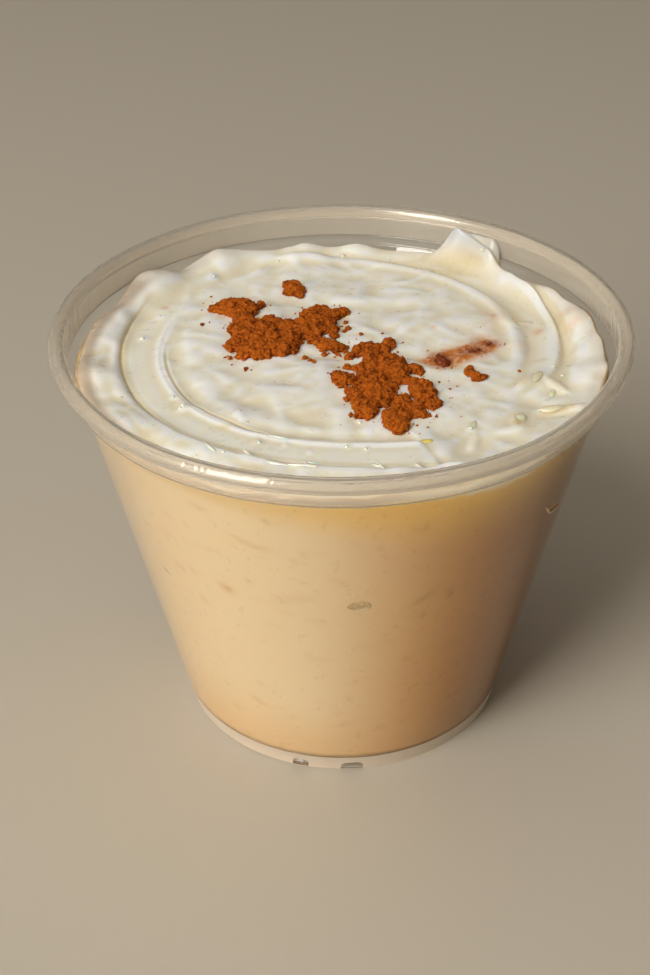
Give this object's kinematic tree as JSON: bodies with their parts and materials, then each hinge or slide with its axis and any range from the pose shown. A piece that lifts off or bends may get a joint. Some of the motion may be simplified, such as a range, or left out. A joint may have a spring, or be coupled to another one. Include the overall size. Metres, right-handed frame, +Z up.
{
  "type": "rice pudding in a dessert cup",
  "caption": "Creamy white rice pudding with a spoon swirl and heaps of cinnamon powder, filling a clear tapered cup with a curled lip.",
  "frame": {"origin": "centre of the cup's base, on the surface it stands on", "axes": "+Z up through the middle of the cup; -Y is the front, the side that the camera faces; +X is to its right"},
  "size_m": [0.092, 0.092, 0.0703],
  "materials": {
    "clear_plastic": "clear, thin and glossy",
    "pudding": "moist cream with soft lumps of rice",
    "cinnamon": "dry crumbly powder"
  },
  "bodies": {
    "root": {"cup": "clear_plastic", "pudding": "pudding", "cinnamon_left": "cinnamon", "cinnamon_right": "cinnamon"}
  },
  "joints": []
}
